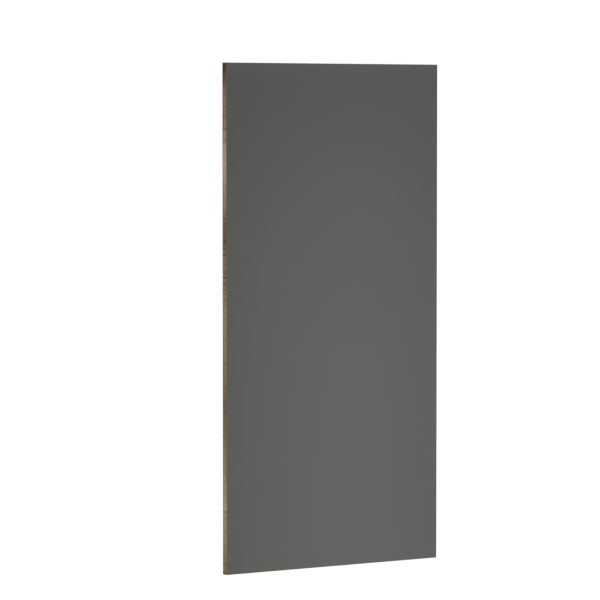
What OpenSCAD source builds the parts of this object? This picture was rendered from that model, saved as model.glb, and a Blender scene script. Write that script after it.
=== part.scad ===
// Laminate-faced sheet: a sawn wood core board with a thin decorative laminate bonded to one face.
// It lies flat on its back. X runs across the width, Y along the length and Z up through the thickness.
// The origin is the middle of the back, so the laminate's face looks up.

/* [Sheet] */
// Width of the sheet, 4 ft
sheet_w = 1219.2; // [600:0.1:1830]
// Length of the sheet, 8 ft
sheet_l = 2438.4; // [1200:0.1:3660]

/* [Decorative laminate] */
// Thickness of the laminate
laminate_t = 1; // [0.6:0.1:2]
// Bevel that the trimmer leaves round the laminate's face
laminate_bevel = 0.3; // [0.1:0.05:0.5]

/* [Core board] */
// Thickness of the core board
core_t = 37; // [12:1:50]
// Arris sanded off round the back of the core board
core_arris = 0.5; // [0.2:0.1:2]

/* [Hidden] */

// Section of a slab that stands on z = 0, with its two upper corners cut at 45 degrees
module eased_section(span, thickness, cut) {
    half = span / 2;
    polygon([
        [-half, 0],
        [half, 0],
        [half, thickness - cut],
        [half - cut, thickness],
        [cut - half, thickness],
        [-half, thickness - cut]
    ]);
}

// Slab of the sheet's outline, with its four upper edges cut at 45 degrees and mitred at the corners
module eased_slab(thickness, cut) {
    intersection() {
        rotate([90, 0, 0])
            linear_extrude(height = sheet_l, center = true)
                eased_section(sheet_w, thickness, cut);
        rotate([90, 0, 90])
            linear_extrude(height = sheet_w, center = true)
                eased_section(sheet_l, thickness, cut);
    }
}

// Thin hard laminate, trimmed flush with the core board on all four sides
module laminate_face() {
    color("dimgray")
        translate([0, 0, core_t])
            eased_slab(laminate_t, laminate_bevel);
}

// Thick wood board under the laminate, bare on its back and on its sawn edges
module core_board() {
    color("burlywood")
        translate([0, 0, core_t])
            mirror([0, 0, 1])
                eased_slab(core_t, core_arris);
}

laminate_face();
core_board();
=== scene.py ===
"""Looks of a laminate-faced board that lies on its bare back, seen from above its left long edge.

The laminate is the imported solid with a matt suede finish. The core board gets a finer mesh: its
sawn edges show the laths, joints and veneers that such a board is glued up from.
"""
import math
import random
from collections import namedtuple
import bmesh
import bpy
from mathutils import Matrix, Vector, noise


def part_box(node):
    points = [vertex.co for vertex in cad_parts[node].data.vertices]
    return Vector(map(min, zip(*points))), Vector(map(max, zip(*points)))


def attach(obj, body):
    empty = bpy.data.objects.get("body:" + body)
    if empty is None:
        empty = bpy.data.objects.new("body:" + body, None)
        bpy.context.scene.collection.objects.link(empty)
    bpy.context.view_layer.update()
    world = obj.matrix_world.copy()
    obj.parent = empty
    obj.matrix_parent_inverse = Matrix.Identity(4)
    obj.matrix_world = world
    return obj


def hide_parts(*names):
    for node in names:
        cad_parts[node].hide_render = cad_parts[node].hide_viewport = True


MM = 0.001

# Camera, solved from the corners of the face in the photograph
CAMERA_YAW = math.radians(32.9)
CAMERA_PITCH = math.radians(3.002)
CAMERA_AIM = (-0.1954, 0.0823)
CAMERA_DISTANCE = 16.643
CAMERA_LENS = 207.5
CAMERA_SENSOR = 36.0
CAMERA_REACH = 400.0

# Light: a soft box over each long edge, a thin one low across the upper end, and the sky. Each box
# starts out flat along the board, is tilted about its own length and then turned to its heading
StripLight = namedtuple("StripLight", "name place tilt heading width spread watts")
STRIP_LIGHTS = (
    StripLight("left_strip", (-0.8, -0.88, 1.75), math.radians(-57), 0, 0.2, math.radians(144), 33.4),
    StripLight("right_strip", (0.9, -0.88, 1.2), math.radians(35), 0, 0.2, math.radians(140), 2.37),
    StripLight("upper_strip", (0, 1.25, 0.1), math.radians(50), math.pi / 2, 0.02, math.radians(150), 0.163),
)
STRIP_LENGTH = 4.0
SKY_HORIZON = 1.01
SKY_ZENITH = 0.41
SKY_BAND = (0.12, 0.5)

# Floor
FLOOR_HALF = 300.0
FLOOR_COLOR = (0.25, 0.25, 0.25, 1.0)
FLOOR_ROUGHNESS = 0.9
FLOOR_GLOW = 0.9

# Decorative laminate. Clouds are counted to a metre along each axis, here and in the wood
LAMINATE_DARK = (0.086, 0.088, 0.081, 1.0)
LAMINATE_LIGHT = (0.096, 0.098, 0.091, 1.0)
LAMINATE_ROUGHNESS = 0.52
HAZE_ROUGHNESS = 0.06
CUT_ROUGHNESS = 0.2
DECOR_LAYER = 0.15 * MM
KRAFT_BROWN = (0.055, 0.031, 0.017, 1.0)
KRAFT_DARK = (0.043, 0.024, 0.014, 1.0)
KRAFT_SHEET = 0.2 * MM
PIGMENT_CLOUDS = (900, 900, 900)
PIGMENT_SHADE = 0.6
HAZE_CLOUDS = (2.2, 2.2, 2.2)
HAZE_SHADE = 0.5
SUEDE_CLOUDS = (2400, 2400, 2400)
SUEDE_BUMP = (0.35, 0.03 * MM)
SUEDE_RELIEF = 0.7

# Glued-up core board
VENEER_T = 2.6 * MM
GLUE_GAP = 0.5 * MM
GLUE_DEPTH = 0.22 * MM
JOINT_GAP = 1.5 * MM
JOINT_DEPTH = 0.42 * MM
LATH_SET_BACK = 0.22 * MM
SAW_WAVE = 0.05 * MM
SAW_WAVE_LENGTH = 25 * MM
BACK_ARRIS = 0.5 * MM
STATION_STEP = 12 * MM
LATH_STEPS = 5
LATH_WIDTHS = (23 * MM, 30 * MM)
LATH_LENGTHS = (0.22, 0.62)
LATH_ROUGHNESS = (0.2, 1.0)
LATH_SHIFTS = (0, 90)
SEED = 11

# Tones of the wood, from 0 dark to 1 light. Stains go past 0, down to the darkest
DARKEST_TONE = -0.3
BACK_TONE = 0.62
VENEER_TONE = 0.5
GLUE_TONE = 0.1
JOINT_SHADE = 0.2
LONG_EDGE_TONES = (0.15, 0.85)
SHORT_EDGE_TONES = (0.3, 0.8)
WOOD_COLORS = (
    (DARKEST_TONE, (0.026, 0.014, 0.007, 1.0)),
    (0.0, (0.062, 0.038, 0.0155, 1.0)),
    (0.35, (0.180, 0.126, 0.059, 1.0)),
    (0.65, (0.280, 0.205, 0.118, 1.0)),
    (1.0, (0.420, 0.322, 0.208, 1.0)),
)
VENEER_TINT = (0.86, 0.76, 0.68, 1.0)
VENEER_TINT_SHARE = 0.8

# Figure of the wood, and how much each kind takes from the tone. Sharper lines are narrower
LINE_SHARPNESS = 2
RING_WIDTH = 3.4 * MM
RING_WARP = 3.2
WARP_CLOUDS = (14, 2.2, 14)
PITH_ASIDE = 22 * MM
PITH_ABOVE = 26 * MM
PITH_VARIES = (2.3, 3.7)
RING_SHADE = 0.16
FIBRE_CLOUDS = (700, 16, 700)
FIBRE_SHADE = 0.3
STREAK_CLOUDS = (120, 2.6, 120)
STREAK_SHADE = 0.5
PATCH_CLOUDS = (9, 5, 9)
PATCH_SHADE = 0.45
LEAF_CLOUDS = (5.5, 0.55, 1)
LEAF_BANDS = 7.3
LEAF_SHADE = 0.16
END_GRAIN_REACH = 1.05 * MM
END_GRAIN_SHADE = 0.14
BACK_REACH = 0.2 * MM
SHARP = 0.03 * MM
WOOD_ROUGHNESS = 0.78
FIBRE_ROUGHNESS = 0.2
WOOD_SPECULAR = 0.2
WOOD_BUMP = (0.6, 0.12 * MM)
FIBRE_RELIEF = 0.4
RING_RELIEF = 0.25
MARK_RELIEF = 0.8

# Saw marks: broad strokes of fine scratches, which come in clusters
MARK_LEAN = 0.12
STROKE_CLOUDS = (75, 1, 1)
STROKE_RISE = (0.0, 0.12)
SCRATCH_CLOUDS = (520, 1, 1)
SCRATCH_RISE = (-0.1, 0.1)
CLUSTER_CLOUDS = (7, 7, 7)
CLUSTER_RISE = (-0.08, 0.1)
STROKE_ALONE = 0.35
STROKE_PLAIN = 0.55
STROKE_SCRATCHED = 0.6
MARK_SHADE = 0.5
MARK_MEAN = 0.25

# Own map of the core board for a bake: its edges in runs, one above another, then its back and top
MAP_NAME = "OFBake"
MAP_RUNS = 12
MAP_MARGIN = 0.005
MAP_BACK_SHARE = 0.93

Lath = namedtuple("Lath", "length start_tone end_tone rough")
Edge = namedtuple("Edge", "corner along inward laths")
Station = namedtuple("Station", "distance cut tone shift centre rough")
Row = namedtuple("Row", "height band arris share glue")
Column = namedtuple("Column", "vertices way")
WOOD_ATTRIBUTES = ("tone", "shift", "middle", "rough")

# Laths of the left long edge, from its upper end. The saw has left some of them rougher
LEFT_LATHS = (
    Lath(0.11, -0.1, 0.23, 0.2),
    Lath(0.36, 0.23, 0.94, 0.7),
    Lath(0.39, 0.94, 0.16, 0.3),
    Lath(0.43, 0.16, 0.62, 1.0),
    Lath(0.33, 0.62, 0.23, 0.4),
    Lath(0.51, 0.23, 0.8, 0.5),
    Lath(0.31, 0.8, 0.32, 0.8),
)


class Amount:
    """One output of a node. Sums on it in Python add Math nodes to its tree."""

    def __init__(self, nodes, socket):
        self.nodes = nodes
        self.socket = socket

    def math(self, operation, *terms):
        sockets = dict(enumerate(terms))
        return self.nodes.add("Math", {"operation": operation}, sockets)

    def __add__(self, other):
        return self.math("ADD", self, other)

    def __radd__(self, other):
        return self.math("ADD", other, self)

    def __sub__(self, other):
        return self.math("SUBTRACT", self, other)

    def __rsub__(self, other):
        return self.math("SUBTRACT", other, self)

    def __mul__(self, other):
        return self.math("MULTIPLY", self, other)

    def __rmul__(self, other):
        return self.math("MULTIPLY", other, self)

    def __truediv__(self, other):
        return self.math("DIVIDE", self, other)

    def __pow__(self, other):
        return self.math("POWER", self, other)

    def sine(self):
        return self.math("SINE", self)

    def size(self):
        return self.math("ABSOLUTE", self)


class Nodes:
    """The node tree of a material or of the world."""

    def __init__(self, tree):
        self.tree = tree
        self.tree.nodes.clear()

    def add(self, kind, settings=None, sockets=None, output=0):
        """Adds a node, makes its settings, fills or links its sockets, and gives one of its outputs."""
        node = self.tree.nodes.new("ShaderNode" + kind)
        for name, value in (settings or {}).items():
            if name == "stops":
                self.fill_ramp(node.color_ramp, value)
            else:
                setattr(node, name, value)
        for name, value in (sockets or {}).items():
            if isinstance(value, Amount):
                self.tree.links.new(value.socket, node.inputs[name])
            else:
                node.inputs[name].default_value = value
        return Amount(self, node.outputs[output]) if node.outputs else None

    @staticmethod
    def fill_ramp(ramp, stops):
        while len(ramp.elements) < len(stops):
            ramp.elements.new(1.0)
        for element, (position, color) in zip(ramp.elements, stops):
            element.position = position
            element.color = color

    def axes(self, vector):
        return [self.add("SeparateXYZ", None, {"Vector": vector}, axis) for axis in "XYZ"]

    def noise(self, place, clouds, shift=0.0, detail=2.0, roughness=0.5):
        """Noise between -0.5 and 0.5, with so many clouds to a metre. Another shift gives other clouds."""
        scaled = self.add("VectorMath", {"operation": "MULTIPLY"}, {0: place, 1: clouds})
        moved = self.add("CombineXYZ", None, {"X": shift, "Y": shift, "Z": shift})
        spot = self.add("VectorMath", {"operation": "ADD"}, {0: scaled, 1: moved})
        sockets = {"Vector": spot, "Scale": 1.0, "Detail": detail, "Roughness": roughness}
        return self.add("TexNoise", {"noise_dimensions": "3D"}, sockets) - 0.5

    def waves(self, turns):
        """Rises from 0 to 1 and falls back within each whole turn."""
        return (turns * (2 * math.pi)).sine() * 0.5 + 0.5

    def rise(self, value, low, high):
        """0 where the value is below low, 1 above high, and smooth between them."""
        settings = {"interpolation_type": "SMOOTHSTEP"}
        return self.add("MapRange", settings, {"Value": value, "From Min": low, "From Max": high})

    def beyond(self, value, limit):
        """0 below the limit and 1 above it."""
        return self.rise(value, limit - SHARP, limit + SHARP)

    def mixed(self, factor, first, second, way="MIX"):
        """Two colours mixed, or blended in another way, by a factor."""
        settings = {"data_type": "RGBA", "blend_type": way}
        return self.add("Mix", settings, {0: factor, 6: first, 7: second}, 2)

    def bump(self, height, strength, distance):
        return self.add("Bump", None, {"Strength": strength, "Distance": distance, "Height": height})


def new_material(name):
    material = bpy.data.materials.new(name)
    material.use_nodes = True
    return material, Nodes(material.node_tree)


def finish_material(nodes, **sockets):
    """Ends the tree in a Principled shader. Words in a socket's name are joined by underscores."""
    named = {name.replace("_", " "): value for name, value in sockets.items()}
    shader = nodes.add("BsdfPrincipled", None, named)
    nodes.add("OutputMaterial", None, {"Surface": shader})


# Materials

def laminate_material(face_top):
    """Matt plain grey with a fine suede, and brown kraft paper where the trimmer has cut through it."""
    material, nodes = new_material("matt_grey_laminate")
    place = nodes.add("TexCoord", None, None, "Object")
    height = nodes.axes(place)[2]
    pigment = nodes.noise(place, PIGMENT_CLOUDS, detail=1.0)
    haze = nodes.noise(place, HAZE_CLOUDS)
    suede = nodes.noise(place, SUEDE_CLOUDS, detail=1.0)
    tint = 0.5 + pigment * PIGMENT_SHADE + haze * HAZE_SHADE
    grey = nodes.mixed(tint, LAMINATE_DARK, LAMINATE_LIGHT)
    kraft = nodes.mixed(nodes.waves(height / KRAFT_SHEET), KRAFT_BROWN, KRAFT_DARK)
    cut = 1 - nodes.beyond(height, face_top - DECOR_LAYER)
    finish_material(
        nodes,
        Base_Color=nodes.mixed(cut, grey, kraft),
        Roughness=LAMINATE_ROUGHNESS + haze * HAZE_ROUGHNESS + cut * CUT_ROUGHNESS,
        Normal=nodes.bump(suede * SUEDE_RELIEF + pigment * (1 - SUEDE_RELIEF), *SUEDE_BUMP),
    )
    return material


def growth_rings(nodes, place, shift, middle, core_top):
    """Rings round a pith that lies along the lath."""
    x, _, z = nodes.axes(place)
    pith_x = middle + (shift * PITH_VARIES[0]).sine() * PITH_ASIDE
    pith_z = core_top / 2 + (shift * PITH_VARIES[1]).sine() * PITH_ABOVE
    from_pith = ((x - pith_x) ** 2 + (z - pith_z) ** 2) ** 0.5
    warp = nodes.noise(place, WARP_CLOUDS, shift)
    return nodes.waves(from_pith / RING_WIDTH + warp * RING_WARP) ** LINE_SHARPNESS


def saw_marks(nodes, place, shift, rough):
    """Strokes that lean a little across the edges, and are deeper on the rough laths."""
    x, y, z = nodes.axes(place)
    across = nodes.add("CombineXYZ", None, {"X": x + y + z * MARK_LEAN})
    stroke = nodes.rise(nodes.noise(across, STROKE_CLOUDS), *STROKE_RISE)
    scratch = nodes.rise(nodes.noise(across, SCRATCH_CLOUDS, detail=1.0), *SCRATCH_RISE)
    cluster = nodes.rise(nodes.noise(place, CLUSTER_CLOUDS, shift, detail=1.0), *CLUSTER_RISE)
    clustered = STROKE_ALONE + cluster * (1 - STROKE_ALONE)
    scratched = STROKE_PLAIN + scratch * STROKE_SCRATCHED
    return stroke * clustered * scratched * rough


def wood_brown(nodes, depth):
    """The brown of a tone, anywhere from the darkest one to 1."""
    span = 1 - DARKEST_TONE
    stops = [((stop - DARKEST_TONE) / span, color) for stop, color in WOOD_COLORS]
    return nodes.add("ValToRGB", {"stops": stops}, {"Fac": (depth - DARKEST_TONE) / span})


def wood_material(half_length, core_top):
    """Brown wood: growth rings and fibres in each lath, darker veneers, saw marks and a plain back."""
    material, nodes = new_material("sawn_wood_core")
    place = nodes.add("TexCoord", None, None, "Object")
    _, y, z = nodes.axes(place)
    tone, shift, middle, rough = (
        nodes.add("Attribute", {"attribute_name": name}, None, "Fac") for name in WOOD_ATTRIBUTES
    )

    # Long fibres, which show as fine pores on the end grain
    fibre = nodes.noise(place, FIBRE_CLOUDS, shift, detail=3.0, roughness=0.6)
    streak = nodes.noise(place, STREAK_CLOUDS, shift)
    patch = nodes.noise(place, PATCH_CLOUDS, shift)
    ring = growth_rings(nodes, place, shift, middle, core_top)
    marks = saw_marks(nodes, place, shift, rough)

    # Where the edges, the veneers and the end grain are
    edges = nodes.beyond(z, BACK_REACH)
    lath = nodes.beyond(z, VENEER_T) - nodes.beyond(z, core_top - VENEER_T)
    veneer = edges - lath
    end_grain = nodes.beyond(y.size(), half_length - END_GRAIN_REACH) * edges

    # Wide figure of the back's peeled veneer
    leaf = nodes.waves(nodes.noise(place, LEAF_CLOUDS) * LEAF_BANDS) ** LINE_SHARPNESS

    depth = (
        tone
        + streak * STREAK_SHADE
        + patch * PATCH_SHADE
        + fibre * FIBRE_SHADE
        - ring * lath * RING_SHADE
        - leaf * (1 - edges) * LEAF_SHADE
        - (marks - rough * MARK_MEAN) * edges * MARK_SHADE
        - end_grain * END_GRAIN_SHADE
    )
    brown = wood_brown(nodes, depth)
    finish_material(
        nodes,
        Base_Color=nodes.mixed(veneer * VENEER_TINT_SHARE, brown, VENEER_TINT, "MULTIPLY"),
        Roughness=WOOD_ROUGHNESS + fibre * FIBRE_ROUGHNESS,
        Specular_IOR_Level=WOOD_SPECULAR,
        Normal=nodes.bump(fibre * FIBRE_RELIEF + ring * RING_RELIEF - marks * MARK_RELIEF, *WOOD_BUMP),
    )
    return material


def floor_material():
    """Plain white. Most of it is its own glow, so that it stays white away from the lights."""
    material, nodes = new_material("white_floor")
    finish_material(
        nodes,
        Base_Color=FLOOR_COLOR,
        Roughness=FLOOR_ROUGHNESS,
        Emission_Color=(1.0, 1.0, 1.0, 1.0),
        Emission_Strength=FLOOR_GLOW,
    )
    return material


# Core board

def fitted(laths, total):
    """The same laths, with their lengths scaled to fill the total."""
    scale = total / sum(lath.length for lath in laths)
    return [lath._replace(length=lath.length * scale) for lath in laths]


def random_laths(total, lengths, tones, chance, matched=False):
    """Laths that fill the total. Matched ones change along themselves, so that they meet in one tone."""
    laths = []
    tone = chance.uniform(*tones)
    while sum(lath.length for lath in laths) < total:
        next_tone = chance.uniform(*tones)
        end_tone = next_tone if matched else tone
        laths.append(Lath(chance.uniform(*lengths), tone, end_tone, chance.uniform(*LATH_ROUGHNESS)))
        tone = next_tone
    return fitted(laths, total)


def between(laths, before, after):
    """The same laths of a short edge. The outer two are the ends of the laths round its corners."""
    first = laths[0]._replace(start_tone=before.end_tone, end_tone=before.end_tone)
    last = laths[-1]._replace(start_tone=after.start_tone, end_tone=after.start_tone)
    return [first, *laths[1:-1], last]


def core_edges(half_width, half_length, chance):
    """The four edges, one after the other round the board, each from its first corner."""
    width = 2 * half_width
    length = 2 * half_length
    left = fitted(LEFT_LATHS, length)
    right = random_laths(length, LATH_LENGTHS, LONG_EDGE_TONES, chance, matched=True)
    lower = random_laths(width, LATH_WIDTHS, SHORT_EDGE_TONES, chance)
    upper = random_laths(width, LATH_WIDTHS, SHORT_EDGE_TONES, chance)
    return (
        Edge((-half_width, half_length), (0, -1), (1, 0), left),
        Edge((-half_width, -half_length), (1, 0), (0, 1), between(lower, left[-1], right[0])),
        Edge((half_width, -half_length), (0, 1), (-1, 0), right),
        Edge((half_width, half_length), (-1, 0), (0, -1), between(upper, right[-1], left[0])),
    )


def edge_stations(laths, chance):
    """Places along an edge where the mesh has a column, with what the lath is like there."""
    stations = []
    start = 0.0
    for lath in laths:
        shift = chance.uniform(*LATH_SHIFTS)
        own = {"shift": shift, "centre": start + lath.length / 2, "rough": lath.rough}
        set_back = chance.uniform(0, LATH_SET_BACK)
        if start > 0:
            stations.append(Station(start, JOINT_DEPTH, lath.start_tone - JOINT_SHADE, **own))
        first = start + JOINT_GAP / 2 if start > 0 else 0.0
        last = start + lath.length - JOINT_GAP / 2
        count = math.ceil((last - first) / STATION_STEP)
        for step in range(count + 1):
            share = step / count
            tone = lath.start_tone + (lath.end_tone - lath.start_tone) * share
            stations.append(Station(first + (last - first) * share, set_back, tone, **own))
        start += lath.length
    return stations


def core_rows(core_top):
    """Heights up an edge: what is there, its arris, its share of a lath's depth and its glue line."""
    low = VENEER_T
    high = core_top - VENEER_T
    half_gap = GLUE_GAP / 2
    lath_rows = [
        Row(low + half_gap + (high - low - GLUE_GAP) * step / LATH_STEPS, "lath", 0, 1, 0)
        for step in range(LATH_STEPS + 1)
    ]
    return [
        Row(0, "back", BACK_ARRIS, 0, 0),
        Row(BACK_ARRIS, "veneer", 0, 0, 0),
        Row(low - half_gap, "veneer", 0, 0, 0),
        Row(low, "glue", 0, 0.5, GLUE_DEPTH),
        *lath_rows,
        Row(high, "glue", 0, 0.5, GLUE_DEPTH),
        Row(high + half_gap, "veneer", 0, 0, 0),
        Row(core_top, "veneer", 0, 0, 0),
    ]


def row_spot(edge, station, row):
    """A vertex of the edge. At the edge's first corner nothing is cut in but the mitred arris."""
    spot = Vector(edge.corner) + Vector(edge.along) * station.distance
    if station.distance == 0:
        spot += (Vector(edge.inward) + Vector(edge.along)) * row.arris
    else:
        wave = 1 + noise.noise(Vector((*spot, row.height)) / SAW_WAVE_LENGTH)
        depth = row.arris + row.glue + row.share * (station.cut + SAW_WAVE * wave)
        spot += Vector(edge.inward) * depth
    return (spot.x, spot.y, row.height)


def lath_middle(edge, station):
    """Where across the board the lath lies: on the long edges, at the edge itself."""
    return edge.corner[0] + edge.along[0] * station.centre


def edge_columns(mesh, rows, half_width, half_length):
    """Columns of vertices round the board, with what the wood is like at each vertex."""
    chance = random.Random(SEED)
    band_tones = {"back": BACK_TONE, "veneer": VENEER_TONE, "glue": GLUE_TONE}
    layers = [mesh.verts.layers.float.new(name) for name in WOOD_ATTRIBUTES]
    columns = []
    edge_start = 0.0
    for edge in core_edges(half_width, half_length, chance):
        for station in edge_stations(edge.laths, chance):
            vertices = [mesh.verts.new(row_spot(edge, station, row)) for row in rows]
            for vertex, row in zip(vertices, rows):
                tone = band_tones.get(row.band, station.tone)
                shift = station.shift if row.band == "lath" else 0.0
                values = (tone, shift, lath_middle(edge, station), station.rough)
                for layer, value in zip(layers, values):
                    vertex[layer] = value
            columns.append(Column(vertices, edge_start + station.distance))
        edge_start += sum(lath.length for lath in edge.laths)
    return columns


def add_edge_faces(mesh, bake_map, columns, rows, half_width, half_length):
    """Faces between the columns, each mapped in its own run. Gives the height where the runs end."""
    way_round = 4 * (half_width + half_length)
    run_length = way_round / MAP_RUNS
    scale = (1 - 2 * MAP_MARGIN) / (run_length + STATION_STEP)
    pitch = rows[-1].height * scale + MAP_MARGIN
    for column, following in zip(columns, columns[1:] + columns[:1]):
        ways = (column.way, following.way or way_round)
        run = math.floor(sum(ways) / 2 / run_length)
        left = MAP_MARGIN + (STATION_STEP / 2 - run * run_length) * scale
        bottom = MAP_MARGIN + run * pitch
        for low in range(len(rows) - 1):
            corners = ((0, low), (1, low), (1, low + 1), (0, low + 1))
            vertices = [(column, following)[side].vertices[row] for side, row in corners]
            face = mesh.faces.new(vertices)
            spots = {
                vertex: (left + ways[side] * scale, bottom + rows[row].height * scale)
                for vertex, (side, row) in zip(vertices, corners)
            }
            for loop in face.loops:
                loop[bake_map].uv = spots[loop.vert]
    return MAP_MARGIN + MAP_RUNS * pitch


def add_flat_face(mesh, bake_map, vertices, low, high):
    """A face across the whole board, mapped to the rectangle from low to high with its length along it."""
    face = mesh.faces.new(vertices)
    reach = [max(vertex.co[axis] for vertex in vertices) for axis in (1, 0)]
    for loop in face.loops:
        shares = [(loop.vert.co[axis] / most + 1) / 2 for axis, most in zip((1, 0), reach)]
        loop[bake_map].uv = [a + (b - a) * share for a, b, share in zip(low, high, shares)]


def core_board_mesh(half_width, half_length, core_top):
    """A closed board. Its edges have lath joints, glue lines and a slight saw wave, all cut inwards."""
    mesh = bmesh.new()
    bake_map = mesh.loops.layers.uv.new(MAP_NAME)
    rows = core_rows(core_top)
    columns = edge_columns(mesh, rows, half_width, half_length)
    edges_end = add_edge_faces(mesh, bake_map, columns, rows, half_width, half_length)
    most = 1 - MAP_MARGIN
    back, top = ([column.vertices[end] for column in columns] for end in (0, -1))
    add_flat_face(mesh, bake_map, back, (MAP_MARGIN, edges_end), (MAP_BACK_SHARE, most))
    add_flat_face(mesh, bake_map, top, (MAP_BACK_SHARE + MAP_MARGIN, edges_end), (most, most))
    bmesh.ops.recalc_face_normals(mesh, faces=mesh.faces)
    data = bpy.data.meshes.new("core_board_sawn")
    mesh.to_mesh(data)
    mesh.free()
    return data


def make_core_board(half_width, half_length, core_top):
    data = core_board_mesh(half_width, half_length, core_top)
    data.materials.append(wood_material(half_length, core_top))
    board = bpy.data.objects.new("core_board_sawn", data)
    bpy.context.scene.collection.objects.link(board)
    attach(board, "root")
    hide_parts("core_board")


# Stage

def make_floor():
    data = bpy.data.meshes.new("floor")
    corners = [(x * FLOOR_HALF, y * FLOOR_HALF, 0) for x, y in ((-1, -1), (1, -1), (1, 1), (-1, 1))]
    data.from_pydata(corners, [], [range(4)])
    floor = bpy.data.objects.new("floor", data)
    bpy.context.scene.collection.objects.link(floor)
    data.materials.append(floor_material())


def make_sky():
    """White at the horizon and softer overhead."""
    world = bpy.data.worlds.new("soft_studio")
    bpy.context.scene.world = world
    world.use_nodes = True
    nodes = Nodes(world.node_tree)
    rise = nodes.axes(nodes.add("TexCoord", None, None, "Generated"))[2]
    overhead = nodes.rise(rise, *SKY_BAND)
    strength = SKY_HORIZON - overhead * (SKY_HORIZON - SKY_ZENITH)
    light = nodes.add("Background", None, {"Color": (1.0, 1.0, 1.0, 1.0), "Strength": strength})
    nodes.add("OutputWorld", None, {"Surface": light})


def make_strip_light(strip):
    """A long soft box over an edge, tilted down towards the face."""
    data = bpy.data.lights.new(strip.name, "AREA")
    data.shape = "RECTANGLE"
    data.size = strip.width
    data.size_y = STRIP_LENGTH
    data.spread = strip.spread
    data.energy = strip.watts
    light = bpy.data.objects.new(strip.name, data)
    light.location = strip.place
    light.rotation_euler = (0, strip.tilt, strip.heading)
    light.visible_camera = False
    bpy.context.scene.collection.objects.link(light)


def make_camera(face_top):
    """Looks down on the face from over its left edge, with the board's length up the picture."""
    back = Vector((
        -math.sin(CAMERA_YAW) * math.cos(CAMERA_PITCH),
        math.sin(CAMERA_PITCH),
        math.cos(CAMERA_YAW) * math.cos(CAMERA_PITCH),
    ))
    right = Vector((0, 1, 0)).cross(back).normalized()
    upward = back.cross(right)
    data = bpy.data.cameras.new("camera")
    data.sensor_width = CAMERA_SENSOR
    data.lens = CAMERA_LENS
    data.clip_end = CAMERA_REACH
    camera = bpy.data.objects.new("camera", data)
    turn = Matrix((right, upward, back)).transposed().to_4x4()
    camera.matrix_world = Matrix.Translation(Vector((*CAMERA_AIM, face_top)) + back * CAMERA_DISTANCE) @ turn
    bpy.context.scene.collection.objects.link(camera)
    bpy.context.scene.camera = camera


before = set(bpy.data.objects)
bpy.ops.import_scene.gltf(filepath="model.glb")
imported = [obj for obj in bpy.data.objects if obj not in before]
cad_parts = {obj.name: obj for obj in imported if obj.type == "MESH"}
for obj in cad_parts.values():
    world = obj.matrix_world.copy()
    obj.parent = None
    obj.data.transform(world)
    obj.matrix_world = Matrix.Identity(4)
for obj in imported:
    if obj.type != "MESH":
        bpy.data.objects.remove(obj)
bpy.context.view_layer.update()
low_corner, high_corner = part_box("core_board")
face_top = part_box("laminate_face")[1].z

bpy.context.scene.view_settings.view_transform = "Standard"
make_camera(face_top)
make_sky()
for strip in STRIP_LIGHTS:
    make_strip_light(strip)
make_floor()

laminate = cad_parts["laminate_face"]
laminate.data.materials.clear()
laminate.data.materials.append(laminate_material(face_top))
make_core_board(high_corner.x, high_corner.y, high_corner.z)
